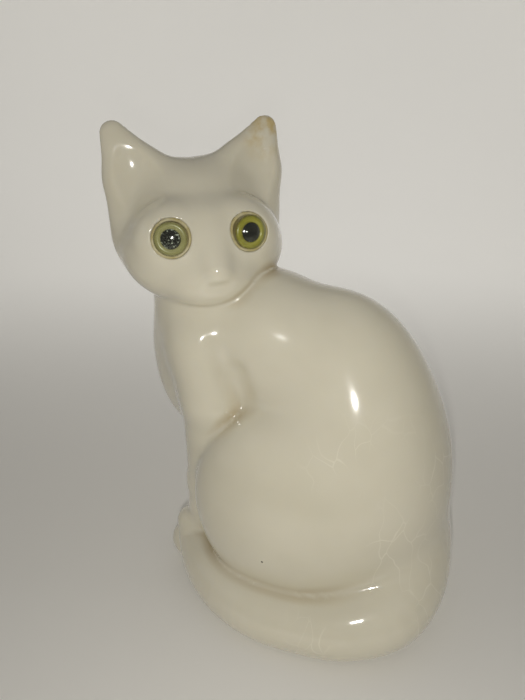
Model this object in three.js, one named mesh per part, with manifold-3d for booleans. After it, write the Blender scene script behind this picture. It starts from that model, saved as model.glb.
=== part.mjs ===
// Ceramic cat figurine: a hollow slip-cast body with two glass eyes cemented into its face.
//
// Frame: +Z up, the body faces -Y, the cat's left side is +X, and the origin is on the flat underside.
// All sizes are in millimetres. The head turns back over the left shoulder and the tail curls
// round the left side to the front paws.
//
// The body is one smooth form, described as a blend of ellipsoids and round cones. Closed skins
// are wrapped onto that form, once on the glazed outside and once on the inside of the clay wall.

import * as THREE from 'three';
import { mergeVertices } from 'three/addons/utils/BufferGeometryUtils.js';
import Module from 'manifold-3d';

const wasm = await Module();
wasm.setup();

// ---------------------------------------------------------------------------------------------
// Driving dimensions
// ---------------------------------------------------------------------------------------------

const WALL = 5;                 // thickness of the cast clay wall
const VENT_RADIUS = 8;          // pour and vent hole in the underside
const VENT_Y = 30;              // the hole is behind the middle, which stays solid
const GAP = 0.3;                // clearance between pieces that are cemented together

const HEAD_CENTRE = [3.5, -50.6, 166];
const HEAD_YAW = 125;           // degrees, the head's turn towards the cat's left
const HEAD_NOD = -3;            // degrees, the nose drops
const HEAD_TILT = -2;           // degrees, one ear is a little higher

const EYE_SPACING = 24.5;       // between the two sockets' axes where they start, inside the head
const EYE_HEIGHT = 1.7;         // above the head's centre
const EYE_SPLAY = 14;           // degrees that each eye looks outwards
const SOCKET_RADIUS = 7.5;
const GLASS_RADIUS = 6.55;
const GLASS_DOME = 2.9;         // height of the glass above its rim
const PUPIL_RADIUS = 4;

const EAR_LEAN = 24;            // degrees that each ear leans outwards
const EAR_LENGTH = 41;
const EAR_SPACING = 29.4;       // between the middles of the ears' roots

// ---------------------------------------------------------------------------------------------
// Distance to simple forms, negative inside
// ---------------------------------------------------------------------------------------------

const radians = THREE.MathUtils.degToRad;

function smoothMin(a, b, blend) {
  const near = Math.max(blend - Math.abs(a - b), 0) / blend;
  return Math.min(a, b) - (near ** 3) * blend / 6;
}

function smoothMax(a, b, blend) {
  return -smoothMin(-a, -b, blend);
}

// An ellipsoid; tilt is its rotation about X in degrees.
function ellipsoid(centre, radii, tilt = 0) {
  const [cx, cy, cz] = centre;
  const [rx, ry, rz] = radii;
  const cos = Math.cos(radians(tilt));
  const sin = Math.sin(radians(tilt));
  return (x, y, z) => {
    const dx = (x - cx) / rx;
    const dy = ((y - cy) * cos + (z - cz) * sin) / ry;
    const dz = ((z - cz) * cos - (y - cy) * sin) / rz;
    const scaled = Math.hypot(dx, dy, dz);
    const slope = Math.hypot(dx / rx, dy / ry, dz / rz);
    return scaled * (scaled - 1) / Math.max(slope, 1e-6);
  };
}

// A cone with ball ends: radius ra at a and rb at b.
function roundCone(a, b, ra, rb) {
  const axis = b.map((value, i) => value - a[i]);
  const length2 = axis[0] ** 2 + axis[1] ** 2 + axis[2] ** 2;
  const drop = ra - rb;
  const side2 = length2 - drop * drop;
  return (x, y, z) => {
    const px = x - a[0];
    const py = y - a[1];
    const pz = z - a[2];
    const along = px * axis[0] + py * axis[1] + pz * axis[2];
    const past = along - length2;
    const ex = px * length2 - axis[0] * along;
    const ey = py * length2 - axis[1] * along;
    const ez = pz * length2 - axis[2] * along;
    const across2 = ex * ex + ey * ey + ez * ez;
    const limit = Math.sign(drop) * drop * drop * across2;
    if (Math.sign(past) * side2 * past * past * length2 > limit) {
      return Math.sqrt(across2 + past * past * length2) / length2 - rb;
    }
    if (Math.sign(along) * side2 * along * along * length2 < limit) {
      return Math.sqrt(across2 + along * along * length2) / length2 - ra;
    }
    return (Math.sqrt(across2 * side2 / length2) + along * drop) / length2 - ra;
  };
}

// The same form on both sides of the body.
function mirrored(form) {
  return (x, y, z) => form(Math.abs(x), y, z);
}

// Joins forms one after another; each entry after the first is [form, blend].
function blended(first, ...others) {
  return (x, y, z) => others.reduce(
    (distance, [form, blend]) => smoothMin(distance, form(x, y, z), blend),
    first(x, y, z),
  );
}

// ---------------------------------------------------------------------------------------------
// The forms of the cat
// ---------------------------------------------------------------------------------------------

const CREASE_BLEND = 18;
const SEAT_BLEND = 14;

// Barrel, back, nape and the two haunches.
const hindForm = blended(
  ellipsoid([0, 21, 60], [41.5, 41, 67]),
  [ellipsoid([0, 2, 103], [27.5, 40, 44], -28), 22],
  [ellipsoid([0, -22, 124], [27, 28, 28]), 14],
  [mirrored(ellipsoid([25, -2.5, 54], [25, 43.5, 47], 14)), 10],
);

// Chest, neck and the clay web that closes the space behind the forelegs.
const chestForm = blended(
  ellipsoid([0, -49, 112], [24, 26, 40]),
  [roundCone([0, -44, 124], [2, -49, 152], 27, 24), 12],
  [roundCone([0, -34, 96], [0, -34, 12], 17, 17), 8],
);

const foreleg = blended(
  roundCone([17.5, -45, 123], [18.5, -40, 98], 14.5, 13),
  [roundCone([18.5, -40, 98], [12, -45, 52], 13, 11.5), 6],
  [roundCone([12, -45, 52], [10, -50, 14], 11.5, 9.5), 6],
  [ellipsoid([9.5, -57, 10], [8.5, 12.5, 11]), 7],
);

const foreForm = blended(chestForm, [mirrored(foreleg), 10]);

// The rump, low at the back where the tail starts.
const rumpForm = ellipsoid([0, 28, 36], [30, 34, 28]);
const RUMP_BLEND = 12;

// The tail hides the left hind paw, so only the right one is formed.
const hindPaw = ellipsoid([-33, -20, 9], [11, 26, 9.5]);

// The seat that fills the outline between legs, haunches and tail down to the underside.
function seatForm(x, y, z) {
  const reach = Math.hypot(x / 35, (y - 6) / 44);
  return Math.max((reach - 1) * 35, z - 28);
}

// Rump and seat join the trunk low down.
function seated(trunk, x, y, z) {
  const rumped = smoothMin(trunk, rumpForm(x, y, z), RUMP_BLEND);
  return smoothMin(rumped, seatForm(x, y, z), SEAT_BLEND);
}

function trunkForm(x, y, z) {
  const trunk = smoothMin(foreForm(x, y, z), hindForm(x, y, z), CREASE_BLEND);
  return smoothMin(seated(trunk, x, y, z), hindPaw(x, y, z), 4);
}

// The hollow follows the wide forms only: slip fills the legs, the tail and the ears solid.
function coreForm(x, y, z) {
  return seated(smoothMin(chestForm(x, y, z), hindForm(x, y, z), CREASE_BLEND), x, y, z);
}

// The tail leaves the rump at the back and thins towards its tip on the front paw.
const TAIL_ROUTE = new THREE.CatmullRomCurve3([
  [-4, 45, 31],
  [16, 48, 25.5],
  [33, 42, 20],
  [42.5, 26, 16],
  [44.5, 8, 14],
  [44, -9, 14],
  [39, -23, 14],
  [32, -34, 14],
  [24, -44, 15],
  [17, -52, 18],
  [13, -56, 25],
].map((point) => new THREE.Vector3(...point)));

function tailRadius(t) {
  const root = THREE.MathUtils.smoothstep(t, 0, 0.45);
  const taper = THREE.MathUtils.smoothstep(t, 0.55, 1);
  return 17.5 - 4.2 * root - 5.5 * taper * taper;
}

// The head in its own frame: -Y is the way it looks, +X is its left ear.
const skullForm = ellipsoid([0, 7, 3], [29, 23, 26.5]);
const NOSE_TIP = [0.8, -27.6, -11.3];

const maskForm = blended(
  ellipsoid([0, -6, -5.5], [33, 20, 23.5]),
  [mirrored(ellipsoid([16, -13, 0], [13, 12, 13])), 6],
  [mirrored(ellipsoid([12.5, -11.5, 6.5], [11, 10.8, 8.5])), 5],
  [ellipsoid([0, -15, -16], [18, 15.5, 12.5]), 8],
  [roundCone([0.4, -14.6, 3], NOSE_TIP, 9.3, 5.4), 6],
);

// One ear in its own frame, with Z along the ear: a flattened cone, fuller in the middle, with a
// shallow hollow in front. The cat's left ear is a little wider and leans a little more.
const EAR_FLATTEN = 1.9;
const EAR_SKEW = 0.8;
const earHollow = ellipsoid([0, -13, 18], [13, 9.2, 24.5], -9);

function earForm(side) {
  const middle = EAR_LENGTH / 2;
  const halfWidth = 13.4 + 0.4 * side;
  const leaf = blended(
    roundCone([0, 0, -2], [0, 0, middle], 21.5, halfWidth),
    [roundCone([0, 0, middle], [0, 0, EAR_LENGTH - 2], halfWidth, 5), 4],
  );
  return (x, y, z) => smoothMax(leaf(x, y * EAR_FLATTEN, z) / 1.5, -earHollow(x, y, z), 3);
}

function earFrame(side) {
  const lean = new THREE.Euler(0, radians(side * EAR_LEAN + EAR_SKEW), 0);
  return new THREE.Matrix4().compose(
    new THREE.Vector3(side * EAR_SPACING / 2 - EAR_SKEW, 3, 4),
    new THREE.Quaternion().setFromEuler(lean),
    new THREE.Vector3(1, 1, 1),
  );
}

const earForms = [earForm(1), earForm(-1)];
const earFrames = [earFrame(1), earFrame(-1)];
const intoEar = earFrames.map((frame) => frame.clone().invert());
const probe = new THREE.Vector3();

function earsForm(x, y, z) {
  const distances = intoEar.map((matrix, i) => {
    probe.set(x, y, z).applyMatrix4(matrix);
    return earForms[i](probe.x, probe.y, probe.z);
  });
  return Math.min(...distances);
}

function headForm(x, y, z) {
  const crown = smoothMin(skullForm(x, y, z), earsForm(x, y, z), 12);
  return smoothMin(crown, maskForm(x, y, z), 5);
}

// ---------------------------------------------------------------------------------------------
// Skins: closed meshes whose vertices are pushed out along rays until they meet a form
// ---------------------------------------------------------------------------------------------

const STEPS = 90;
const CLOSE_ENOUGH = 0.01;

function formAlong(form, start, direction, distance) {
  return form(
    start.x + direction.x * distance,
    start.y + direction.y * distance,
    start.z + direction.z * distance,
  );
}

// How far from an inner start, along the direction, the form's level is first crossed.
function reachOut(start, direction, form, level, longest) {
  let distance = 0;
  for (let step = 0; step < STEPS; step += 1) {
    const inside = level - formAlong(form, start, direction, distance);
    if (inside < CLOSE_ENOUGH) {
      break;
    }
    distance += inside * 0.8;
    if (distance > longest) {
      return longest;
    }
  }
  return distance;
}

// The same from far outside, which closes over narrow gaps as a mould does.
function reachIn(start, direction, form, level, farthest) {
  let distance = farthest;
  for (let step = 0; step < STEPS; step += 1) {
    const outside = formAlong(form, start, direction, distance) - level;
    if (outside < CLOSE_ENOUGH) {
      break;
    }
    distance = Math.max(distance - outside * 0.8, 0);
  }
  return distance;
}

// A ball of rays from one point; reach is reachOut or reachIn.
function ballSkin(reach, form, level, longest, columns, rows) {
  const geometry = new THREE.SphereGeometry(1, columns, rows);
  const positions = geometry.attributes.position;
  const centre = new THREE.Vector3();
  const ray = new THREE.Vector3();
  for (let i = 0; i < positions.count; i += 1) {
    ray.fromBufferAttribute(positions, i).normalize();
    ray.multiplyScalar(reach(centre, ray, form, level, longest));
    positions.setXYZ(i, ray.x, ray.y, ray.z);
  }
  return geometry;
}

// A column of rays, square to Z, from a spine that moves with height: spine(z) gives its x and y.
function columnSkin(reach, form, level, longest, spine, heights, columns) {
  const profile = heights.map((z, i) => {
    const isEnd = i === 0 || i === heights.length - 1;
    return new THREE.Vector2(isEnd ? 0 : 1, z);
  });
  const geometry = new THREE.LatheGeometry(profile, columns);
  geometry.rotateX(Math.PI / 2);
  const positions = geometry.attributes.position;
  const start = new THREE.Vector3();
  const ray = new THREE.Vector3();
  for (let i = 0; i < positions.count; i += 1) {
    const z = positions.getZ(i);
    start.set(...spine(z), z);
    ray.set(positions.getX(i), positions.getY(i), 0);
    if (ray.length() > 0.5) {
      ray.normalize();
      start.addScaledVector(ray, reach(start, ray, form, level, longest));
    }
    positions.setXYZ(i, start.x, start.y, start.z);
  }
  return geometry;
}

function evenly(first, last, count) {
  return Array.from({ length: count + 1 }, (_, i) => first + (last - first) * i / count);
}

// ---------------------------------------------------------------------------------------------
// Solids
// ---------------------------------------------------------------------------------------------

function reversed(indices) {
  const triangles = new Uint32Array(indices);
  for (let i = 0; i < triangles.length; i += 3) {
    [triangles[i + 1], triangles[i + 2]] = [triangles[i + 2], triangles[i + 1]];
  }
  return triangles;
}

// A closed mesh becomes a solid, with its faces pointing out whichever way it was wound.
function toSolid(geometry, matrix = new THREE.Matrix4()) {
  let plain = geometry.clone();
  plain.deleteAttribute('normal');
  plain.deleteAttribute('uv');
  plain = mergeVertices(plain, 1e-3);
  plain.applyMatrix4(matrix);
  const vertProperties = new Float32Array(plain.attributes.position.array);
  const triVerts = new Uint32Array(plain.index.array);
  const solid = new wasm.Manifold(new wasm.Mesh({ numProp: 3, vertProperties, triVerts }));
  if (solid.volume() > 0) {
    return solid;
  }
  return new wasm.Manifold(
    new wasm.Mesh({ numProp: 3, vertProperties, triVerts: reversed(triVerts) }),
  );
}

function toGeometry(solid) {
  const mesh = solid.getMesh();
  const geometry = new THREE.BufferGeometry();
  geometry.setAttribute('position', new THREE.BufferAttribute(mesh.vertProperties, 3));
  geometry.setIndex(new THREE.BufferAttribute(mesh.triVerts, 1));
  geometry.computeVertexNormals();
  return geometry;
}

// A round piece turned about Z from a half outline of [radius, height] points.
function turned(outline, segments) {
  const geometry = new THREE.LatheGeometry(
    outline.map(([radius, height]) => new THREE.Vector2(radius, height)),
    segments,
  );
  return geometry.rotateX(Math.PI / 2);
}

// ---------------------------------------------------------------------------------------------
// The ceramic body
// ---------------------------------------------------------------------------------------------

const headFrame = new THREE.Matrix4().compose(
  new THREE.Vector3(...HEAD_CENTRE),
  new THREE.Quaternion().setFromEuler(
    new THREE.Euler(radians(HEAD_NOD), radians(HEAD_TILT), radians(HEAD_YAW), 'ZXY'),
  ),
  new THREE.Vector3(1, 1, 1),
);

// The middle of the trunk moves forward with height, from the seat to the neck.
function trunkSpine(z) {
  const rise = THREE.MathUtils.smoothstep(z, 60, 160);
  return [2 * rise, -2 - 46 * rise];
}

function trunkSolid() {
  const heights = [0, ...evenly(0, 40, 9), ...evenly(45, 164, 23), 170, 174];
  return toSolid(columnSkin(reachIn, trunkForm, 0, 110, trunkSpine, heights, 64));
}

// A tube along the tail's route, with rounded ends.
function tailSolid() {
  const columns = 14;
  const rows = 26;
  const geometry = new THREE.SphereGeometry(1, columns, rows);
  const frames = TAIL_ROUTE.computeFrenetFrames(rows);
  const positions = geometry.attributes.position;
  const point = new THREE.Vector3();
  for (let i = 0; i < positions.count; i += 1) {
    const row = Math.floor(i / (columns + 1));
    const t = row / rows;
    const angle = (i % (columns + 1)) / columns * 2 * Math.PI;
    const rounding = Math.sqrt(Math.max(0, 1 - Math.abs(2 * t - 1) ** 12));
    const radius = tailRadius(t) * rounding;
    point.copy(TAIL_ROUTE.getPointAt(t));
    point.addScaledVector(frames.normals[row], radius * Math.cos(angle));
    point.addScaledVector(frames.binormals[row], radius * Math.sin(angle));
    positions.setXYZ(i, point.x, point.y, point.z);
  }
  return toSolid(geometry);
}

// The skull and the face mask.
function headSolid() {
  return toSolid(ballSkin(reachOut, headForm, 0, 34, 38, 26), headFrame);
}

function earSolid(frame) {
  const middle = (z) => [0, 2.5 * (1 - z / EAR_LENGTH)];
  const inHead = (x, y, z) => {
    const point = new THREE.Vector3(x, y, z).applyMatrix4(frame);
    return headForm(point.x, point.y, point.z);
  };
  const heights = [...evenly(0, EAR_LENGTH - 1, 10), EAR_LENGTH + 1.8, EAR_LENGTH + 2.9];
  const skin = columnSkin(reachOut, inHead, 0, 16, middle, heights, 20);
  return toSolid(skin, headFrame.clone().multiply(frame));
}

// Everything below the underside's plane is cut away.
function aboveGround() {
  const size = 400;
  return toSolid(new THREE.BoxGeometry(size, size, size).translate(0, 0, size / 2));
}

// The inside of the clay wall.
function cavitySolid() {
  const inHead = (x, y, z) => smoothMin(skullForm(x, y, z), maskForm(x, y, z), 5);
  const heights = [WALL, ...evenly(WALL, 160, 18), 166];
  const trunk = toSolid(columnSkin(reachIn, coreForm, -WALL, 90, trunkSpine, heights, 28));
  const head = toSolid(ballSkin(reachOut, inHead, -WALL, 34, 20, 14), headFrame);
  return trunk.add(head);
}

function ventHole() {
  const depth = 4 * WALL;
  const hole = new THREE.CylinderGeometry(VENT_RADIUS, VENT_RADIUS, depth, 24);
  hole.rotateX(Math.PI / 2);
  hole.translate(0, VENT_Y, 0);
  return toSolid(hole);
}

// An eye's frame within the head: Z points out of the socket and its origin is on the face.
function eyeFrame(side) {
  const outwards = new THREE.Vector3(
    side * Math.sin(radians(EYE_SPLAY)),
    -Math.cos(radians(EYE_SPLAY)),
    0,
  );
  const start = new THREE.Vector3(side * EYE_SPACING / 2, -12, EYE_HEIGHT);
  start.addScaledVector(outwards, reachOut(start, outwards, headForm, 0, 30));
  const turn = new THREE.Quaternion().setFromUnitVectors(new THREE.Vector3(0, 0, 1), outwards);
  return new THREE.Matrix4().compose(start, turn, new THREE.Vector3(1, 1, 1));
}

const eyeSides = [['left', 1], ['right', -1]];

function socketHole(side) {
  const inner = 14;
  const outer = 10;
  const hole = turned([[0, -inner], [SOCKET_RADIUS, -inner], [SOCKET_RADIUS, outer], [0, outer]], 28);
  return toSolid(hole, headFrame.clone().multiply(eyeFrame(side)));
}

function ceramicBody() {
  let solid = trunkSolid().add(tailSolid()).add(headSolid());
  for (const frame of earFrames) {
    solid = solid.add(earSolid(frame));
  }
  solid = solid.intersect(aboveGround()).subtract(cavitySolid()).subtract(ventHole());
  for (const [, side] of eyeSides) {
    solid = solid.subtract(socketHole(side));
  }
  return toGeometry(solid);
}

// ---------------------------------------------------------------------------------------------
// The pieces of an eye, each turned about the socket's axis
// ---------------------------------------------------------------------------------------------

const GLASS_BACK = -0.7;        // the flat back of the glass, below the face
const GLASS_RIM = 0.1;
const IRIS_THICKNESS = 0.6;
const IRIS_FRONT = GLASS_BACK - GAP;
const CEMENT_FLOOR = IRIS_FRONT - IRIS_THICKNESS - GAP;
const CEMENT_THICKNESS = 1.8;
const EYE_SEGMENTS = 24;

// A clear cabochon: flat back, short rim and a dome that is part of a ball.
function eyeGlass() {
  const ballRadius = (GLASS_RADIUS ** 2 + GLASS_DOME ** 2) / (2 * GLASS_DOME);
  const ballHeight = GLASS_RIM + GLASS_DOME - ballRadius;
  const rimAngle = Math.asin(GLASS_RADIUS / ballRadius);
  const dome = evenly(rimAngle, 0, 5).map((angle) => [
    ballRadius * Math.sin(angle),
    ballHeight + ballRadius * Math.cos(angle),
  ]);
  return turned([[0, GLASS_BACK], [GLASS_RADIUS, GLASS_BACK], ...dome], EYE_SEGMENTS);
}

// The painted enamel ring behind the glass.
function eyeIris() {
  const inner = PUPIL_RADIUS + GAP;
  const outer = GLASS_RADIUS - GAP;
  const back = IRIS_FRONT - IRIS_THICKNESS;
  return turned(
    [[inner, back], [outer, back], [outer, IRIS_FRONT], [inner, IRIS_FRONT], [inner, back]],
    EYE_SEGMENTS,
  );
}

function eyePupil() {
  const back = IRIS_FRONT - IRIS_THICKNESS;
  return turned(
    [[0, back], [PUPIL_RADIUS, back], [PUPIL_RADIUS, IRIS_FRONT], [0, IRIS_FRONT]],
    EYE_SEGMENTS,
  );
}

// The cement cup that holds the glass in its socket and shows as a thin ring round it.
function eyeCement() {
  const outer = SOCKET_RADIUS - GAP;
  const inner = GLASS_RADIUS + GAP;
  const back = CEMENT_FLOOR - CEMENT_THICKNESS;
  const lip = GLASS_RIM + 0.2;
  return turned(
    [[0, back], [outer, back], [outer, lip], [inner, lip], [inner, CEMENT_FLOOR], [0, CEMENT_FLOOR]],
    EYE_SEGMENTS,
  );
}

// ---------------------------------------------------------------------------------------------
// Assembly
// ---------------------------------------------------------------------------------------------

const materials = {
  ceramic: new THREE.MeshStandardMaterial({ color: 0xd9d3bd, roughness: 0.12, metalness: 0 }),
  glass: new THREE.MeshStandardMaterial({
    color: 0xeef2e6, roughness: 0.03, metalness: 0, transparent: true, opacity: 0.35,
  }),
  enamel: new THREE.MeshStandardMaterial({ color: 0xa6a437, roughness: 0.35, metalness: 0 }),
  blackGlass: new THREE.MeshStandardMaterial({ color: 0x0c0d0b, roughness: 0.08, metalness: 0 }),
  cement: new THREE.MeshStandardMaterial({ color: 0xb3a468, roughness: 0.6, metalness: 0 }),
};

function addPiece(parent, name, geometry, material) {
  const piece = new THREE.Mesh(geometry, material);
  piece.name = name;
  parent.add(piece);
}

function placedGroup(matrix) {
  const placed = new THREE.Group();
  matrix.decompose(placed.position, placed.quaternion, placed.scale);
  return placed;
}

const group = new THREE.Group();
addPiece(group, 'ceramic_body', ceramicBody(), materials.ceramic);

const head = placedGroup(headFrame);
group.add(head);

for (const [name, side] of eyeSides) {
  const eye = placedGroup(eyeFrame(side));
  head.add(eye);
  addPiece(eye, `${name}_eye_cement`, eyeCement(), materials.cement);
  addPiece(eye, `${name}_eye_iris`, eyeIris(), materials.enamel);
  addPiece(eye, `${name}_eye_pupil`, eyePupil(), materials.blackGlass);
  addPiece(eye, `${name}_eye_glass`, eyeGlass(), materials.glass);
}

export default group;
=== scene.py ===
"""The looks of the ceramic cat figurine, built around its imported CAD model.

The cat is one smooth form: a blend of ellipsoids and round cones, the same forms as the CAD
model has, with the face, ears and creases worked out finer. A fine mesh is laid on that form,
and the eyes are turned pieces set in its sockets. Forms are written in millimetres.
"""
import math

import bmesh
import bpy
import numpy as np
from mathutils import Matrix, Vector


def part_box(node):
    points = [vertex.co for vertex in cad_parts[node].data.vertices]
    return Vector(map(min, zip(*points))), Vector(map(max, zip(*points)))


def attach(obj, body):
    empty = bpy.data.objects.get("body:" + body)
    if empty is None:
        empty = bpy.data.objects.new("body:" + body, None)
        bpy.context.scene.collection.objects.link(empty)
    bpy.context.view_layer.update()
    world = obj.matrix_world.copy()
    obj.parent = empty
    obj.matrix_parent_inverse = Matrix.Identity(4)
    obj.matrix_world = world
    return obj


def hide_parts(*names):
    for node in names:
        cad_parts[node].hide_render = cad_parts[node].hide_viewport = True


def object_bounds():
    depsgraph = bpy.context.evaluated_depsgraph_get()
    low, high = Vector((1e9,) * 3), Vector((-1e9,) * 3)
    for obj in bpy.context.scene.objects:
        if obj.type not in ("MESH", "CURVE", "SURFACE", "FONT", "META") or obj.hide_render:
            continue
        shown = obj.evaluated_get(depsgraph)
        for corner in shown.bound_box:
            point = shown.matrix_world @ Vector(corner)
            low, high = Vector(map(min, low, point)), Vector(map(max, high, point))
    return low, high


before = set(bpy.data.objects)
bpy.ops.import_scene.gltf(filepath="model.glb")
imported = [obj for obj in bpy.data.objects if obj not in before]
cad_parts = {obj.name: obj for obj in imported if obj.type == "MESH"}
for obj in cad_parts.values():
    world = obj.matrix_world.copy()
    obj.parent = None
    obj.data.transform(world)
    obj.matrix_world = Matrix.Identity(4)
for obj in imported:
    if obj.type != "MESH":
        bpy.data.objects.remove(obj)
CAD_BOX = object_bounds()

MM = 0.001

# --- the cat's sizes, in millimetres and degrees ---
HEAD_CENTRE = (3.5, -50.6, 166)
HEAD_YAW = 125
HEAD_NOD = -3
HEAD_TILT = -2
EYE_SPACING = 24.5
EYE_HEIGHT = 1.7
EYE_SPLAY = 14
SOCKET_RADIUS = 7.5
SOCKET_FLOOR = -5.5
EAR_BASE = (14.7, 3, 4)
EAR_SHIFT = 0.8
EAR_LEAN = 24
EAR_LEAN_SHIFT = 0.8
EAR_LENGTH = 41
EAR_FLATTEN = 1.9
NOSE_TIP = (0.8, -27.6, -11.3)
TAIL_RADIUS = 17.5
TAIL_ROOT_TAPER = 4.2
TAIL_TIP_TAPER = 5.5
WALL = 5
VENT_RADIUS = 8
VENT_Y = 30


# --- tools for forms: a form gives each point's rough distance outside a surface ---
def turn(axis, degrees):
    """A rotation matrix about the x, y or z axis."""
    cos = math.cos(math.radians(degrees))
    sin = math.sin(math.radians(degrees))
    i, j = {"x": (1, 2), "y": (2, 0), "z": (0, 1)}[axis]
    matrix = np.eye(3)
    matrix[i, i] = cos
    matrix[j, j] = cos
    matrix[i, j] = -sin
    matrix[j, i] = sin
    return matrix


def smooth_min(a, b, blend):
    """Joins two forms, with a fillet about as wide as blend."""
    near = np.maximum(blend - np.abs(a - b), 0) / blend
    return np.minimum(a, b) - near ** 3 * blend / 6


def smooth_max(a, b, blend):
    """What two forms share, or one less the other when that one is negative."""
    return -smooth_min(-a, -b, blend)


def ease(value, low, high):
    """Rises smoothly from 0 to 1 between low and high."""
    t = np.clip((value - low) / (high - low), 0, 1)
    return t * t * (3 - 2 * t)


def ellipsoid(points, centre, radii, rotation=None):
    """An ellipsoid with its own radii along each axis, turned by a rotation matrix."""
    local = points - np.array(centre, np.float32)
    if rotation is not None:
        local = local @ rotation.astype(np.float32)
    radii = np.array(radii, np.float32)
    scaled = np.linalg.norm(local / radii, axis=1)
    slope = np.linalg.norm(local / radii ** 2, axis=1)
    return scaled * (scaled - 1) / np.maximum(slope, 1e-6)


def round_cone(points, a, b, ra, rb):
    """A cone with ball ends: radius ra at a and rb at b."""
    a = np.array(a, np.float32)
    axis = np.array(b, np.float32) - a
    length2 = float(axis @ axis)
    drop = ra - rb
    side2 = length2 - drop * drop
    local = points - a
    along = local @ axis
    past = along - length2
    across2 = ((local * length2 - axis * along[:, None]) ** 2).sum(axis=1)
    limit = math.copysign(drop * drop, drop) * across2
    body = (np.sqrt(across2 * side2 / length2) + along * drop) / length2 - ra
    far_ball = np.sqrt(across2 + past ** 2 * length2) / length2 - rb
    near_ball = np.sqrt(across2 + along ** 2 * length2) / length2 - ra
    ball = np.where(np.sign(along) * side2 * along ** 2 * length2 < limit, near_ball, body)
    return np.where(np.sign(past) * side2 * past ** 2 * length2 > limit, far_ball, ball)


def mirrored(points):
    """The same points folded onto the +X side, for forms that both sides share."""
    folded = points.copy()
    folded[:, 0] = np.abs(folded[:, 0])
    return folded


# --- trunk ---
def hind_form(points):
    """The back, the nape and the two haunches."""
    both = mirrored(points)
    form = ellipsoid(points, (0, 21, 60), (41.5, 41, 67))
    form = smooth_min(form, ellipsoid(points, (0, 2, 103), (27.5, 40, 44), turn("x", -28)), 22)
    form = smooth_min(form, ellipsoid(points, (0, -22, 124), (27, 28, 28)), 14)
    return smooth_min(form, ellipsoid(both, (25, -2.5, 54), (25, 43.5, 47), turn("x", 14)), 10)


def foreleg_form(both):
    """Upper arm, forearm, wrist and paw."""
    form = round_cone(both, (18.5, -45, 123), (20, -40, 98), 14.5, 13)
    form = smooth_min(form, round_cone(both, (20, -40, 98), (12, -45, 52), 13, 11.5), 6)
    form = smooth_min(form, round_cone(both, (12, -45, 52), (10, -50, 14), 11.5, 9.5), 6)
    return smooth_min(form, ellipsoid(both, (9.5, -57, 10), (8.5, 12.5, 11)), 7)


def fore_form(points):
    """The chest, the neck, the forelegs and the clay between them."""
    form = ellipsoid(points, (0, -49, 112), (24, 26, 40))
    form = smooth_min(form, round_cone(points, (0, -44, 124), (2, -49, 152), 27, 24), 12)
    form = smooth_min(form, round_cone(points, (0, -34, 96), (0, -34, 12), 17, 17), 8)
    return smooth_min(form, foreleg_form(mirrored(points)), 10)


def seat_form(points):
    """A low oval block that the haunches sit on."""
    reach = np.hypot(points[:, 0] / 35, (points[:, 1] - 6) / 44)
    return np.maximum((reach - 1) * 35, points[:, 2] - 28)


def shoulder_groove(both):
    """The soft furrow behind the upper arm."""
    form = round_cone(both, (34, -33, 128), (30.8, -27, 114), 4, 6)
    return smooth_min(form, round_cone(both, (30.8, -27, 114), (29, -23.5, 104), 6, 5), 3)


def trunk_form(points):
    """The body without head and tail; the crease behind the arm is softer higher up."""
    crease = 5 + 4.5 * ease(points[:, 2], 82, 120)
    rump = ellipsoid(points, (0, 28, 36), (30, 34, 28))
    right_hind_paw = ellipsoid(points, (-33, -20, 9), (11, 26, 9.5))
    form = smooth_min(fore_form(points), hind_form(points), crease)
    form = smooth_max(form, -shoulder_groove(mirrored(points)), 5)
    form = smooth_min(form, rump, 12)
    form = smooth_min(form, seat_form(points), 14)
    return smooth_min(form, right_hind_paw, 4)


TAIL_POINTS = [
    (-4, 45, 31), (16, 48, 25.5), (33, 42, 20), (42.5, 26, 16), (44.5, 8, 14), (44, -9, 14),
    (39, -23, 14), (32, -34, 14), (24, -44, 15), (17, -52, 18), (13, -56, 25),
]


def tail_route(samples):
    """Points on a smooth curve through TAIL_POINTS (Catmull-Rom)."""
    knots = np.array(TAIL_POINTS, float)
    knots = np.vstack([2 * knots[0] - knots[1], knots, 2 * knots[-1] - knots[-2]])
    route = []
    for step in np.linspace(0, len(knots) - 3, samples):
        i = min(int(step), len(knots) - 4)
        t = step - i
        p0, p1, p2, p3 = knots[i:i + 4]
        bend = 2 * p0 - 5 * p1 + 4 * p2 - p3
        twist = 3 * p1 - p0 - 3 * p2 + p3
        route.append(0.5 * (2 * p1 + (p2 - p0) * t + bend * t ** 2 + twist * t ** 3))
    return np.array(route)


def tail_form(points):
    """A chain of short round cones; points well above the tail keep a plain height."""
    samples = 40
    clear_above = 66
    crest = 40
    route = tail_route(samples)
    t = np.linspace(0, 1, samples)
    radii = TAIL_RADIUS - TAIL_ROOT_TAPER * ease(t, 0, 0.45)
    radii = radii - TAIL_TIP_TAPER * ease(t, 0.55, 1) ** 2
    low = points[:, 2] < clear_above
    near = points[low]
    form = round_cone(near, route[0], route[1], radii[0], radii[1])
    for i in range(1, samples - 1):
        form = np.minimum(form, round_cone(near, route[i], route[i + 1], radii[i], radii[i + 1]))
    whole = points[:, 2] - crest
    whole[low] = form
    return whole


# --- head ---
def head_matrix():
    """The head's rotation. In its own frame it looks along -Y and its left ear is at +X."""
    return turn("z", HEAD_YAW) @ turn("x", HEAD_NOD) @ turn("y", HEAD_TILT)


def into_head(points):
    """The points in the head's own frame."""
    offset = points - np.array(HEAD_CENTRE, np.float32)
    return offset @ head_matrix().astype(np.float32)


def ear_base(side):
    """The middle of an ear's root; the cat's left ear is set a little closer in."""
    return np.array((side * EAR_BASE[0] - EAR_SHIFT, EAR_BASE[1], EAR_BASE[2]), np.float32)


def ear_turn(side):
    """An ear's rotation; the cat's left ear leans out a little more."""
    return turn("y", side * EAR_LEAN + EAR_LEAN_SHIFT)


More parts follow.
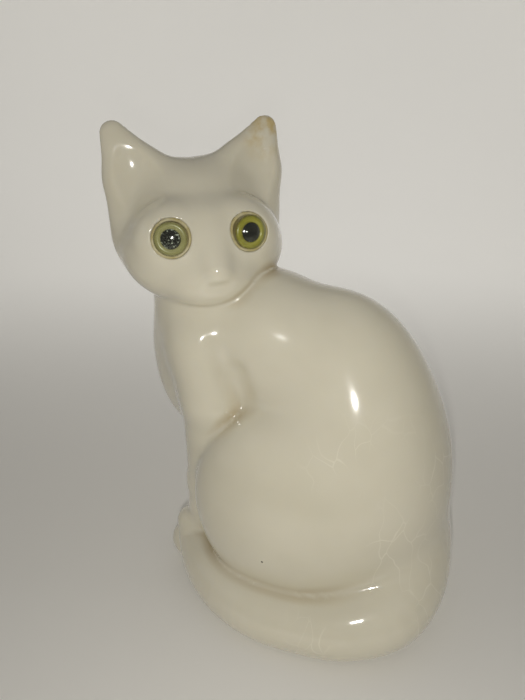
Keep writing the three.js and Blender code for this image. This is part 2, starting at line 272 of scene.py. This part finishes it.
def ear_form(local, side):
    """A flattened cone, fuller in the middle, with a shallow hollow in front."""
    ear = (local - ear_base(side)) @ ear_turn(side).astype(np.float32)
    flat = ear * np.array((1, EAR_FLATTEN, 1), np.float32)
    middle = EAR_LENGTH * 0.5
    half_width = 13.4 + 0.4 * side
    outer = round_cone(flat, (0, 0, -2), (0, 0, middle), 21.5, half_width)
    upper = round_cone(flat, (0, 0, middle), (0, 0, EAR_LENGTH - 2), half_width, 5)
    outer = smooth_min(outer, upper, 4) / 1.5
    hollow = ellipsoid(ear, (0, -13, 18), (13, 9.2, 24.5), turn("x", -9))
    return smooth_max(outer, -hollow, 3)


def skull_form(local):
    return ellipsoid(local, (0, 7, 3), (29, 23, 26.5))


def mask_form(local):
    """The face: a wide flat mask with eye mounds, brows and a muzzle."""
    both = mirrored(local)
    eye_mounds = ellipsoid(both, (16, -13, 0), (13, 12, 13))
    brows = ellipsoid(both, (12.5, -11.5, 6.5), (11, 10.8, 8.5))
    muzzle = ellipsoid(local, (0, -15, -16), (18, 15.5, 12.5))
    form = ellipsoid(local, (0, -6, -5.5), (33, 20, 23.5))
    form = smooth_min(form, eye_mounds, 6)
    form = smooth_min(form, brows, 5)
    return smooth_min(form, muzzle, 8)


def nose_form(local):
    """The bridge between the eyes and the round tip of the nose."""
    return round_cone(local, (0.4, -14.6, 3), NOSE_TIP, 9.3, 5.4)


def under_nose(local):
    """The shallow fold under the nose."""
    return ellipsoid(local, (NOSE_TIP[0], NOSE_TIP[1] - 4.6, NOSE_TIP[2] - 6.6), (7, 2.4, 2))


def head_shape(local):
    """The head in its own frame; the mask's edge is softer on the cat's right."""
    ears = np.minimum(ear_form(local, 1), ear_form(local, -1))
    crown = smooth_min(skull_form(local), ears, 12)
    mask_edge = 4.5 + 5 * ease(-local[:, 0], 4, 24)
    form = smooth_min(crown, mask_form(local), mask_edge)
    form = smooth_min(form, nose_form(local), 6)
    return smooth_max(form, -under_nose(local), 4)


def head_form(points):
    return head_shape(into_head(points))


def cat_form(points):
    """The whole cat; the crease above the tail is softer towards its root."""
    crease = 4 + 8 * ease(points[:, 1], 6, 48)
    form = smooth_min(trunk_form(points), tail_form(points), crease)
    form = smooth_min(form, head_form(points), 2)
    return smooth_max(form, -points[:, 2], 1)


def core_form(points):
    """The part of the trunk that the casting's hollow follows."""
    return smooth_min(hind_form(points), ellipsoid(points, (0, -44, 108), (22, 24, 44)), 10)


def eye_frame(side):
    """The eye's rotation and origin: the origin is on the face and Z looks out of it."""
    splay = math.radians(EYE_SPLAY)
    outwards = np.array((side * math.sin(splay), -math.cos(splay), 0))
    depth = -12
    clear_of_face = 30
    at = np.array((side * EYE_SPACING / 2, depth, EYE_HEIGHT)) + clear_of_face * outwards
    for _ in range(60):
        at = at - 0.6 * float(head_shape(at[None].astype(np.float32))[0]) * outwards
    z_axis = head_matrix() @ outwards
    x_axis = np.cross((0, 0, 1), z_axis)
    x_axis = x_axis / np.linalg.norm(x_axis)
    rotation = np.stack([x_axis, np.cross(z_axis, x_axis), z_axis], axis=1)
    return rotation, np.array(HEAD_CENTRE) + head_matrix() @ at


def body_form(points):
    """The cat with its eye sockets, the hollow inside it and the vent under it."""
    form = cat_form(points)
    clear_of_face = 12
    for rotation, origin in EYE_FRAMES:
        local = (points - origin.astype(np.float32)) @ rotation.astype(np.float32)
        bore = np.hypot(local[:, 0], local[:, 1]) - SOCKET_RADIUS
        bore = smooth_max(bore, SOCKET_FLOOR - local[:, 2], 0.6)
        form = smooth_max(form, -np.maximum(bore, local[:, 2] - clear_of_face), 1.0)
    hollow = smooth_max(core_form(points) + WALL, WALL - points[:, 2], 4)
    vent = np.hypot(points[:, 0], points[:, 1] - VENT_Y) - VENT_RADIUS
    hollow = smooth_min(hollow, np.maximum(vent, points[:, 2] - 2 * WALL), 3)
    return smooth_max(form, -hollow, 2)


EYE_FRAMES = [eye_frame(1), eye_frame(-1)]


# --- a fine mesh laid on a form ---
def sample_blocks(form, low, step, counts):
    """The form's values on a grid. Blocks far from the surface take one value each."""
    block = 4
    middle = (block - 1) / 2
    blocks = [math.ceil(count / block) for count in counts]
    axes = [low[i] + step * (block * np.arange(blocks[i]) + middle) for i in range(3)]
    centres = np.stack(np.meshgrid(*axes, indexing="ij"), axis=-1).reshape(-1, 3)
    rough = form(centres.astype(np.float32))
    values = np.repeat(rough[:, None], block ** 3, axis=1)
    near = np.flatnonzero(np.abs(rough) < 2 * block * step)
    offsets = np.stack(np.meshgrid(*[np.arange(block)] * 3, indexing="ij"), axis=-1)
    offsets = (offsets.reshape(-1, 3) - middle) * step
    fine = (centres[near][:, None] + offsets[None]).reshape(-1, 3)
    values[near] = form(fine.astype(np.float32)).reshape(len(near), -1)
    values = values.reshape(*blocks, block, block, block).transpose(0, 3, 1, 4, 2, 5)
    values = values.reshape([count * block for count in blocks])
    return values[:counts[0], :counts[1], :counts[2]]


CORNERS = np.array([(i, j, k) for i in (0, 1) for j in (0, 1) for k in (0, 1)])
CELL_EDGES = [
    (a, b) for a in range(8) for b in range(a + 1, 8)
    if np.abs(CORNERS[a] - CORNERS[b]).sum() == 1
]


def net_vertices(values, low, step):
    """One vertex in each grid cell that the surface crosses, at its mean crossing point."""
    inside = values < 0
    shape = [size - 1 for size in values.shape]
    total = np.zeros(shape, np.int8)
    for i, j, k in CORNERS:
        total += inside[i:i + shape[0], j:j + shape[1], k:k + shape[2]]
    cells = np.argwhere((total > 0) & (total < 8))
    at = cells[:, None] + CORNERS[None]
    corner_values = values[at[..., 0], at[..., 1], at[..., 2]]
    sums = np.zeros((len(cells), 3))
    crossings = np.zeros(len(cells))
    for a, b in CELL_EDGES:
        va = corner_values[:, a]
        vb = corner_values[:, b]
        crossed = (va < 0) != (vb < 0)
        t = np.where(crossed, va / np.where(crossed, va - vb, 1), 0)[:, None]
        sums += np.where(crossed[:, None], CORNERS[a] + t * (CORNERS[b] - CORNERS[a]), 0)
        crossings += crossed
    points = low + step * (cells + sums / crossings[:, None])
    numbers = np.full(shape, -1, np.int32)
    numbers[tuple(cells.T)] = np.arange(len(cells))
    return points, numbers


def net_faces(values, numbers):
    """One quad round each grid edge that the surface crosses, facing out."""
    inside = values < 0
    faces = []
    for axis in range(3):
        u = (axis + 1) % 3
        v = (axis + 2) % 3
        first = np.take(inside, range(values.shape[axis] - 1), axis=axis)
        second = np.take(inside, range(1, values.shape[axis]), axis=axis)
        edges = np.argwhere(first != second)
        edges = edges[(edges[:, u] > 0) & (edges[:, v] > 0)]
        ring = []
        for du, dv in ((-1, -1), (0, -1), (0, 0), (-1, 0)):
            cell = edges.copy()
            cell[:, u] += du
            cell[:, v] += dv
            ring.append(numbers[cell[:, 0], cell[:, 1], cell[:, 2]])
        quads = np.stack(ring, axis=1)
        leaving = first[tuple(edges.T)]
        faces.append(np.where(leaving[:, None], quads, quads[:, ::-1]))
    return np.concatenate(faces)


GRADIENT_STEP = 0.25
GRADIENT_CORNERS = np.array([(1, -1, -1), (-1, -1, 1), (-1, 1, -1), (1, 1, 1)])


def gradient(form, points):
    """The form's slope at each point, from four samples round it."""
    slopes = [
        corner * form((points + GRADIENT_STEP * corner).astype(np.float32))[:, None]
        for corner in GRADIENT_CORNERS
    ]
    return sum(slopes) / (4 * GRADIENT_STEP)


def outward(form, points):
    """The form's slope at each point as a unit vector."""
    slope = gradient(form, points)
    return slope / np.maximum(np.linalg.norm(slope, axis=1, keepdims=True), 1e-6)


def drop_onto(form, points, rounds):
    """Moves points along the form's slope until they lie on its surface."""
    longest = 0.8
    flattest = 0.05
    for _ in range(rounds):
        slope = gradient(form, points)
        size2 = np.maximum((slope ** 2).sum(axis=1), flattest)
        move = np.clip(form(points.astype(np.float32)) / size2, -longest, longest)
        points = points - move[:, None] * slope
    return points


def evened(points, edges, rounds):
    """Each point moves halfway to the mean of its neighbours."""
    counts = np.bincount(edges.ravel(), minlength=len(points))[:, None]
    for _ in range(rounds):
        sums = np.zeros_like(points)
        for axis in range(3):
            sums[:, axis] = np.bincount(edges[:, 0], points[edges[:, 1], axis], len(points))
            sums[:, axis] += np.bincount(edges[:, 1], points[edges[:, 0], axis], len(points))
        points = 0.5 * points + 0.5 * sums / counts
    return points


def quad_edges(faces):
    """Each edge of a net of quads once."""
    pairs = np.concatenate([faces[:, [i, (i + 1) % 4]] for i in range(4)])
    return np.unique(np.sort(pairs, axis=1), axis=0)


def laid_on(form, low, high, step):
    """Vertices and quads of a fine, even mesh of the form's surface."""
    border = 2
    low = np.array(low, float) - border * step
    counts = [int(size) + 2 * border for size in (np.array(high) - low) / step]
    values = sample_blocks(form, low, step, counts)
    points, numbers = net_vertices(values, low, step)
    faces = net_faces(values, numbers)
    edges = quad_edges(faces)
    for _ in range(3):
        points = evened(points, edges, 2)
        points = drop_onto(form, points, 1)
    return drop_onto(form, points, 2), faces


# --- making Blender objects ---
def new_object(name, points, faces, material, attributes=None):
    """A smooth-shaded mesh object; points are in millimetres in the shared frame."""
    mesh = bpy.data.meshes.new(name)
    mesh.vertices.add(len(points))
    mesh.vertices.foreach_set("co", (np.asarray(points) * MM).astype(np.float32).ravel())
    sizes = np.array([len(face) for face in faces])
    starts = np.concatenate([[0], np.cumsum(sizes)[:-1]])
    corners = np.concatenate([np.asarray(face) for face in faces])
    mesh.loops.add(len(corners))
    mesh.loops.foreach_set("vertex_index", corners.astype(np.int32))
    mesh.polygons.add(len(sizes))
    mesh.polygons.foreach_set("loop_start", starts.astype(np.int32))
    mesh.polygons.foreach_set("use_smooth", np.ones(len(sizes), bool))
    mesh.update(calc_edges=True)
    mesh.validate()
    for key, values in (attributes or {}).items():
        layer = mesh.attributes.new(key, "FLOAT", "POINT")
        layer.data.foreach_set("value", np.asarray(values, np.float32))
    made = bpy.data.objects.new(name, mesh)
    bpy.context.scene.collection.objects.link(made)
    mesh.materials.append(material)
    return made


def turned(outline, segments):
    """Points and faces of a piece turned about Z from [radius, height] points."""
    points = []
    rings = []
    for radius, height in outline:
        if radius < 1e-6:
            rings.append([len(points)])
            points.append((0, 0, height))
            continue
        rings.append(list(range(len(points), len(points) + segments)))
        for i in range(segments):
            angle = 2 * math.pi * i / segments
            points.append((radius * math.cos(angle), radius * math.sin(angle), height))
    faces = []
    for low, high in zip(rings[:-1], rings[1:]):
        for i in range(segments):
            j = (i + 1) % segments
            ring = [low[i % len(low)], low[j % len(low)], high[j % len(high)], high[i % len(high)]]
            faces.append(list(dict.fromkeys(ring)))
    return np.array(points, float), faces


# --- node helpers ---
class Nodes:
    """A short way to write a material's node tree."""

    def __init__(self, name):
        self.material = bpy.data.materials.new(name)
        self.material.use_nodes = True
        self.tree = self.material.node_tree
        self.tree.nodes.clear()
        self.output = self.tree.nodes.new("ShaderNodeOutputMaterial")

    def add(self, kind, settings=None, **sockets):
        """A node with its settings, and each input given a value or a link."""
        node = self.tree.nodes.new("ShaderNode" + kind)
        for key, value in (settings or {}).items():
            setattr(node, key, value)
        for key, value in sockets.items():
            self.put(node, key.replace("_", " "), value)
        return node

    def put(self, node, socket, value):
        index = int(socket) if socket.isdigit() else socket
        if isinstance(value, bpy.types.NodeSocket):
            self.tree.links.new(value, node.inputs[index])
        else:
            node.inputs[index].default_value = value

    def math(self, operation, a, b):
        node = self.tree.nodes.new("ShaderNodeMath")
        node.operation = operation
        self.put(node, "0", a)
        self.put(node, "1", b)
        return node.outputs[0]

    def mix(self, factor, a, b):
        """Colour a where the factor is 0 and colour b where it is 1."""
        node = self.tree.nodes.new("ShaderNodeMix")
        node.data_type = "RGBA"
        self.put(node, "0", factor)
        self.put(node, "6", a)
        self.put(node, "7", b)
        return node.outputs[2]

    def ramp(self, value, low, high):
        """Rises smoothly from 0 to 1 between low and high."""
        node = self.tree.nodes.new("ShaderNodeMapRange")
        node.interpolation_type = "SMOOTHSTEP"
        self.put(node, "0", value)
        self.put(node, "1", low)
        self.put(node, "2", high)
        return node.outputs[0]

    def finish(self, shader):
        self.tree.links.new(shader, self.output.inputs["Surface"])
        return self.material


def colour(red, green, blue):
    """A linear colour from screen values of 0 to 255."""
    def linear(value):
        value = value / 255
        return value / 12.92 if value <= 0.04045 else ((value + 0.055) / 1.055) ** 2.4
    return (linear(red), linear(green), linear(blue), 1)


# --- materials ---
PINHOLE = (49.2, -6.8, 43.4)


def glaze_material():
    """Glossy ivory glaze: soft mottling, creases darkened warm partly by pooled glaze and partly as
    painted shade, fine crazing and a stained ear tip.
    """
    n = Nodes("ivory_glaze")
    place = n.add("TexCoord").outputs["Object"]
    crease = n.add("Attribute", {"attribute_name": "crease"}).outputs["Fac"]
    stain = n.add("Attribute", {"attribute_name": "stain"}).outputs["Fac"]
    flank = n.add("Attribute", {"attribute_name": "flank"}).outputs["Fac"]

    mottle = n.add("TexNoise", Vector=place, Scale=22.0, Detail=3.0).outputs["Fac"]
    base = n.mix(n.ramp(mottle, 0.3, 0.7), colour(218, 212, 191), colour(225, 219, 199))
    # Creases darken to a warm brown: partly glaze pooled there, partly painted shade.
    base = n.mix(n.math("MULTIPLY", crease, 0.9), base, colour(160, 134, 76))

    blotch = n.add("TexNoise", Vector=place, Scale=160.0, Detail=4.0).outputs["Fac"]
    stained = n.math("MULTIPLY", n.math("MULTIPLY", stain, n.ramp(blotch, 0.34, 0.66)), 0.7)
    base = n.mix(stained, base, colour(198, 168, 84))

    warp = n.add("TexNoise", Vector=place, Scale=40.0, Detail=2.0).outputs["Color"]
    bend = n.add("VectorMath", {"operation": "SCALE"}, Vector=warp, Scale=0.02).outputs[0]
    bent = n.add("VectorMath", {"operation": "ADD"}, **{"0": place, "1": bend}).outputs[0]
    tall = n.add("VectorMath", {"operation": "MULTIPLY"}, **{"0": bent, "1": (1, 1, 0.45)}).outputs[0]
    cracks = n.add("TexVoronoi", {"feature": "DISTANCE_TO_EDGE"}, Vector=tall, Scale=140.0)
    line = n.math("SUBTRACT", 1.0, n.ramp(cracks.outputs["Distance"], 0.006, 0.035))
    patches = n.add("TexNoise", Vector=place, Scale=30.0, Detail=1.0).outputs["Fac"]
    line = n.math("MULTIPLY", line, n.math("MULTIPLY", n.ramp(patches, 0.42, 0.6), flank))
    base = n.mix(n.math("MULTIPLY", line, 0.42), base, colour(246, 241, 224))

    hole = [MM * value for value in PINHOLE]
    to_pin = n.add("VectorMath", {"operation": "DISTANCE"}, **{"0": place, "1": hole})
    pin = n.math("SUBTRACT", 1.0, n.ramp(to_pin.outputs["Value"], 0.0003, 0.0006))
    base = n.mix(pin, base, colour(52, 40, 28))

    pits = n.add("TexVoronoi", Vector=place, Scale=900.0).outputs["Distance"]
    pit = n.math("MULTIPLY", n.math("SUBTRACT", 1.0, n.ramp(pits, 0.1, 0.32)), stain)

    wave = n.add("TexNoise", Vector=place, Scale=26.0, Detail=1.0).outputs["Fac"]
    height = n.math("ADD", wave, n.math("MULTIPLY", line, 0.02))
    height = n.math("SUBTRACT", height, n.math("MULTIPLY", pit, 0.12))
    bump = n.add("Bump", Strength=0.35, Distance=0.0012, Height=height)

    shader = n.add(
        "BsdfPrincipled",
        Base_Color=base,
        Roughness=0.12,
        IOR=1.5,
        Normal=bump.outputs[0],
        Subsurface_Weight=0.12,
        Subsurface_Radius=(1.0, 0.8, 0.5),
        Subsurface_Scale=0.004,
        Coat_Weight=1.0,
        Coat_Roughness=0.02,
        Coat_IOR=1.5,
    )
    return n.finish(shader.outputs[0])


def glass_material():
    """Clear glass: what lies under it shows through, and lights reflect by Fresnel."""
    n = Nodes("eye_glass")
    place = n.add("TexCoord").outputs["Object"]
    swirl = n.add("TexNoise", Vector=place, Scale=300.0, Detail=1.0).outputs["Fac"]
    bump = n.add("Bump", Strength=0.1, Distance=0.0002, Height=swirl)
    clear = n.add("BsdfTransparent", Color=(0.97, 0.99, 0.95, 1))
    gloss = n.add("BsdfGlossy", Roughness=0.12, Color=(1, 1, 1, 1), Normal=bump.outputs[0])
    inside = n.add("NewGeometry").outputs["Backfacing"]
    shine = n.math("MULTIPLY", n.add("Fresnel", IOR=1.5).outputs[0], n.math("SUBTRACT", 1.0, inside))
    mixed = n.add("MixShader", **{"0": shine, "1": clear.outputs[0], "2": gloss.outputs[0]})
    return n.finish(mixed.outputs[0])


def iris_material(name, dark, middle, pale):
    """Painted enamel: a dark rim, streaks along the radius and a paler ring at the pupil."""
    n = Nodes(name)
    place = n.add("TexCoord").outputs["Object"]
    ring = n.add("Attribute", {"attribute_name": "ring"}).outputs["Fac"]
    around = n.add("Attribute", {"attribute_name": "around"}).outputs["Fac"]
    spread = n.add("CombineXYZ", X=n.math("MULTIPLY", around, 9.0), Y=ring)
    streak = n.add("TexNoise", Vector=spread.outputs[0], Scale=5.0, Detail=4.0).outputs["Fac"]
    cloud = n.add("TexNoise", Vector=place, Scale=260.0, Detail=3.0).outputs["Fac"]
    base = n.mix(n.ramp(ring, 0.0, 0.55), pale, middle)
    base = n.mix(n.ramp(ring, 0.55, 1.0), base, dark)
    base = n.mix(n.math("MULTIPLY", n.ramp(streak, 0.42, 0.7), 0.45), base, pale)
    base = n.mix(n.math("MULTIPLY", n.ramp(cloud, 0.45, 0.7), 0.3), base, dark)
    shader = n.add("BsdfPrincipled", Base_Color=base, Roughness=0.3, Coat_Weight=0.3)
    return n.finish(shader.outputs[0])


def pupil_material(name, silvered):
    """Black glass; on the cat's right eye its backing has gone to silvery flecks."""
    n = Nodes(name)
    place = n.add("TexCoord").outputs["Object"]
    flecks = n.add("TexVoronoi", Vector=place, Scale=1100.0).outputs["Distance"]
    cloud = n.add("TexNoise", Vector=place, Scale=700.0, Detail=3.0).outputs["Fac"]
    fleck = n.math("SUBTRACT", 1.0, n.ramp(flecks, 0.25, 0.5))
    fleck = n.math("MULTIPLY", fleck, n.ramp(cloud, 0.44, 0.6))
    fleck = n.math("MULTIPLY", fleck, silvered)
    base = n.mix(n.math("MULTIPLY", cloud, 0.5), colour(10, 11, 10), colour(24, 26, 23))
    base = n.mix(fleck, base, colour(190, 194, 186))
    shader = n.add(
        "BsdfPrincipled",
        Base_Color=base,
        Roughness=n.math("ADD", 0.12, n.math("MULTIPLY", fleck, 0.2)),
        Coat_Weight=0.5,
    )
    return n.finish(shader.outputs[0])


def cement_material():
    """Yellowed cement with a slightly rough, uneven face."""
    n = Nodes("eye_cement")
    place = n.add("TexCoord").outputs["Object"]
    grain = n.add("TexNoise", Vector=place, Scale=900.0, Detail=4.0).outputs["Fac"]
    patch = n.add("TexNoise", Vector=place, Scale=180.0, Detail=2.0).outputs["Fac"]
    base = n.mix(n.ramp(patch, 0.4, 0.65), colour(190, 178, 126), colour(212, 204, 168))
    base = n.mix(n.math("MULTIPLY", grain, 0.5), base, colour(140, 124, 70))
    bump = n.add("Bump", Strength=0.5, Distance=0.0003, Height=grain)
    shader = n.add("BsdfPrincipled", Base_Color=base, Roughness=0.45, Normal=bump.outputs[0])
    return n.finish(shader.outputs[0])


def floor_material():
    """Pale matt paper with a trace of cloudiness."""
    n = Nodes("pale_floor")
    place = n.add("TexCoord").outputs["Object"]
    cloud = n.add("TexNoise", Vector=place, Scale=3.0, Detail=2.0).outputs["Fac"]
    base = n.mix(cloud, colour(243, 241, 236), colour(248, 246, 241))
    shader = n.add("BsdfPrincipled", Base_Color=base, Roughness=0.85)
    return n.finish(shader.outputs[0])


# --- the ceramic body ---
def ear_tip(side):
    """The top of an ear in the head's frame."""
    return ear_base(side) + ear_turn(side) @ (0, 0, EAR_LENGTH)


def body_attributes(points):
    """Where creases are darkened, partly for pooled glaze and partly as painted shade; where the ear
    tip is stained; and where the flank is crazed.

    A point is in a crease where the clay comes near again a little way off its surface.
    """
    slope = outward(cat_form, points)
    # How closely the clay closes round a point; it sets the creases' painted shade and pooled-glaze
    # tint.
    crease = np.zeros(len(points))
    for reach in (2.5, 9.0):
        outside = cat_form((points + reach * slope).astype(np.float32))
        crease += 0.5 * ease(1 - outside / reach, 0.25, 0.95)
    local = into_head(points.astype(np.float32))
    stain = 1 - ease(np.linalg.norm(local - ear_tip(1), axis=1), 3, 19)
    flank = ease(points[:, 1], 0, 26) * ease(112 - points[:, 2], 0, 24)
    return {"crease": crease, "stain": stain, "flank": flank}


def near_features(points):
    """Points on the front of the head and its ears."""
    local = into_head(points.astype(np.float32))
    behind_ears = 4
    under_chin = -34
    return (local[:, 1] < behind_ears) & (local[:, 2] > under_chin)


def near_face(points):
    """Points round the eyes, nose and mouth."""
    local = mirrored(into_head(points.astype(np.float32)))
    eye = (EYE_SPACING / 2, -26, EYE_HEIGHT)
    mouth = (0, -30, -16)
    to_eye = np.linalg.norm(local - eye, axis=1)
    to_mouth = np.linalg.norm(local - mouth, axis=1)
    return (to_eye < 16) | (to_mouth < 17)


def halved(points, faces, form, chosen):
    """Halves the edges that are chosen and lays the new points on the form."""
    bm = bmesh.new()
    for point in points:
        bm.verts.new(point)
    bm.verts.ensure_lookup_table()
    for face in faces:
        bm.faces.new([bm.verts[i] for i in face])
    picked = chosen(points)
    bm.verts.index_update()
    edges = [edge for edge in bm.edges if picked[edge.verts[0].index] and picked[edge.verts[1].index]]
    bmesh.ops.subdivide_edges(bm, edges=edges, cuts=1, use_grid_fill=True)
    bm.verts.index_update()
    points = np.array([vertex.co for vertex in bm.verts])
    faces = [[vertex.index for vertex in face.verts] for face in bm.faces]
    bm.free()
    return drop_onto(form, points, 3), faces


def make_body():
    """The glazed clay; its mesh is finer on the front of the head, and finest round the face."""
    step = 1.75
    margin = 4
    low, high = np.array(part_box("ceramic_body")) / MM
    points, faces = laid_on(body_form, low - margin, high + margin, step)
    points, faces = halved(points, faces, body_form, near_features)
    points, faces = halved(points, faces, body_form, near_face)
    attributes = body_attributes(points)
    body = new_object("glazed_cat_body", points, faces, glaze_material(), attributes)
    body.data.normals_split_custom_set_from_vertices(outward(body_form, points))
    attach(body, "root")
    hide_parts("ceramic_body")


# --- the eyes: heights are along the eye's axis, from the face ---
GLASS_RADIUS = 6.55
GLASS_RIM = 0.1
GLASS_TOP = 3.0
GLASS_THICKNESS = 0.35
IRIS_THICKNESS = 0.6
PUPIL_RADIUS = 4.0
PUPIL_RISE = 1.6
CEMENT_FLOOR = -3.4
CEMENT_BACK = -5.2
CEMENT_GAP = 0.02
GLASS_GAP = 0.05
EYE_SEGMENTS = 72
DOME_RISE = GLASS_TOP - GLASS_RIM
DOME_BALL = (GLASS_RADIUS ** 2 + DOME_RISE ** 2) / (2 * DOME_RISE)


def dome_height(radius):
    """How high the glass dome's front stands at a distance from the eye's axis."""
    return GLASS_TOP - DOME_BALL + math.sqrt(DOME_BALL ** 2 - radius ** 2)


def along_dome(start, end, depth, count):
    """Points of an outline at one depth under the dome, from one radius to another."""
    radii = [start + (end - start) * i / count for i in range(count + 1)]
    return [(radius, dome_height(radius) - depth) for radius in radii]


def glass_outline():
    """A thin clear dome: its inner side, then its outer side."""
    inner = along_dome(0, GLASS_RADIUS - GLASS_GAP, GLASS_THICKNESS, 12)
    outer = along_dome(GLASS_RADIUS, 0, 0, 16)
    return inner + outer


def iris_outline():
    """A flat painted ring just behind the rim of the glass."""
    under_pupil = 0.2
    inner = PUPIL_RADIUS - under_pupil
    outer = GLASS_RADIUS - GLASS_GAP
    front = GLASS_RIM - GLASS_GAP
    back = front - IRIS_THICKNESS
    return [(inner, back), (outer, back), (outer, front), (inner, front), (inner, back)]


def pupil_outline():
    """A round black bead that stands up in the middle of the ring."""
    inset = 0.15
    above_rim = 0.02
    depth = 0.8
    count = 10
    radius = PUPIL_RADIUS - inset
    edge = GLASS_RIM + above_rim
    back = edge - depth
    shares = [i / count for i in range(count, -1, -1)]
    front = [(radius * share, edge + PUPIL_RISE * (1 - share ** 2)) for share in shares]
    return [(0, back), (radius, back)] + front


def cement_outline():
    """The cup of cement, with a rounded lip between the glass and the edge of the socket."""
    outer = SOCKET_RADIUS - CEMENT_GAP
    inner = GLASS_RADIUS + CEMENT_GAP
    rounding = 0.3
    lip = [(outer, -0.2), (outer - rounding, 0), (inner + rounding, 0), (inner, -0.1)]
    back = [(0, CEMENT_BACK), (outer, CEMENT_BACK)]
    return back + lip + [(inner, CEMENT_FLOOR), (0, CEMENT_FLOOR)]


def uneven_lip(points, rotation, origin):
    """Lifts the cement's lip to the face round the socket, a little unevenly."""
    angle = np.arctan2(points[:, 1], points[:, 0])
    wave = 0.5 * np.sin(2 * angle + 0.6) + 0.3 * np.sin(5 * angle + 2.0) + 0.2 * np.sin(9 * angle)
    lip = points[:, 2] > -0.5
    sunk = 0.35
    unevenness = 0.2
    lifted = points.copy()
    for _ in range(12):
        outside = cat_form((lifted @ rotation.T + origin).astype(np.float32))
        lifted[:, 2] -= 0.7 * lip * (outside + sunk)
    lifted[:, 2] += unevenness * wave * lip
    return lifted


def make_eye(name, eye, materials):
    """The four pieces of one eye, with how far out and how far round each point is."""
    rotation, origin = eye
    outlines = {
        "cement": cement_outline(),
        "iris": iris_outline(),
        "pupil": pupil_outline(),
        "glass": glass_outline(),
    }
    for piece, outline in outlines.items():
        points, faces = turned(outline, EYE_SEGMENTS)
        if piece == "cement":
            points = uneven_lip(points, rotation, origin)
        radius = np.hypot(points[:, 0], points[:, 1])
        ring = (radius - PUPIL_RADIUS) / (GLASS_RADIUS - PUPIL_RADIUS)
        around = np.abs(np.arctan2(points[:, 1], points[:, 0])) / math.pi
        placed = points @ rotation.T + origin
        made = new_object(
            f"{name}_eye_{piece}_fine", placed, faces, materials[piece],
            {"ring": ring, "around": around},
        )
        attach(made, "root")
        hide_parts(f"{name}_eye_{piece}")


def make_eyes():
    cement = cement_material()
    glass = glass_material()
    make_eye("left", EYE_FRAMES[0], {
        "cement": cement,
        "glass": glass,
        "iris": iris_material(
            "iris_left", colour(114, 106, 22), colour(156, 147, 42), colour(180, 170, 76)),
        "pupil": pupil_material("pupil_left", 0.0),
    })
    make_eye("right", EYE_FRAMES[1], {
        "cement": cement,
        "glass": glass,
        "iris": iris_material(
            "iris_right", colour(124, 114, 66), colour(152, 144, 92), colour(178, 170, 122)),
        "pupil": pupil_material("pupil_right", 1.0),
    })


# --- stage, light and camera ---
def look_at(thing, target):
    """Turns a lamp to face a place."""
    direction = Vector(target) - thing.location
    thing.rotation_euler = direction.to_track_quat("-Z", "Y").to_euler()


def make_floor():
    """A flat round floor that curves up into a wall all round, like a light tent."""
    flat_radius = 700
    bend = 500
    wall_top = 1200
    bend_steps = 12
    outline = [(0, 0), (500, 0)]
    for i in range(bend_steps + 1):
        angle = math.pi / 2 * i / bend_steps
        outline.append((flat_radius + bend * math.sin(angle), bend * (1 - math.cos(angle))))
    outline.append((flat_radius + bend, wall_top))
    points, faces = turned(outline, 96)
    points[:, 2] += CAD_BOX[0][2] / MM
    floor = new_object("floor", points, faces, floor_material())


def area_light(name, place, target, size, power, tint=(1, 1, 1)):
    """A lamp at a place in metres, facing a target."""
    data = bpy.data.lights.new(name, "AREA")
    data.shape = "RECTANGLE"
    data.size = size[0]
    data.size_y = size[1]
    data.energy = power
    data.color = tint
    lamp = bpy.data.objects.new(name, data)
    lamp.location = place
    bpy.context.scene.collection.objects.link(lamp)
    look_at(lamp, target)


def make_lights(camera):
    """A small key light beside the camera, soft lights, and one that lights only the backdrop."""
    middle = (0, 0, 0.1)
    beside_camera = camera.location + Vector((0.008, 0, -0.012))
    area_light("key", beside_camera, middle, (0.006, 0.006), 0.285, (1, 0.985, 0.95))
    area_light("top", (-0.1, 0.0, 0.8), middle, (0.7, 0.7), 0.1)
    area_light("fill", (0.3, -0.7, 0.35), middle, (0.5, 0.6), 0.12)
    beyond = Vector((-camera.location.x, -camera.location.y, 0)).normalized()
    backdrop = 0.45 * beyond + Vector((0, 0, 0.6))
    wall_foot = 1.1 * beyond + Vector((0, 0, 0.1))
    area_light("backdrop", backdrop, wall_foot, (1.2, 0.3), 2.8)
    world = bpy.data.worlds.new("studio")
    world.use_nodes = True
    background = world.node_tree.nodes["Background"]
    background.inputs["Color"].default_value = (1.0, 0.98, 0.94, 1)
    background.inputs["Strength"].default_value = 0.19
    bpy.context.scene.world = world
    bpy.context.scene.view_settings.view_transform = "Standard"


def make_camera():
    """The photograph's view: from the cat's left, a little behind it, and looking down on it."""
    heading = math.radians(110)
    pitch = math.radians(22)
    reach = 0.237
    aside = 0.023
    height = 0.214
    sensor_width = 36
    lens_to_sensor = 6 / 7
    right = Vector((math.cos(heading), math.sin(heading), 0))
    ahead = Vector((-math.sin(heading), math.cos(heading), 0))
    data = bpy.data.cameras.new("camera")
    data.sensor_width = sensor_width
    data.lens = sensor_width * lens_to_sensor
    data.clip_start = 0.01
    camera = bpy.data.objects.new("camera", data)
    camera.location = -aside * right - reach * ahead + Vector((0, 0, height))
    forward = ahead * math.cos(pitch) + Vector((0, 0, -math.sin(pitch)))
    camera.rotation_euler = forward.to_track_quat("-Z", "Y").to_euler()
    bpy.context.scene.collection.objects.link(camera)
    bpy.context.scene.camera = camera
    return camera


make_lights(make_camera())
make_floor()
make_body()
make_eyes()
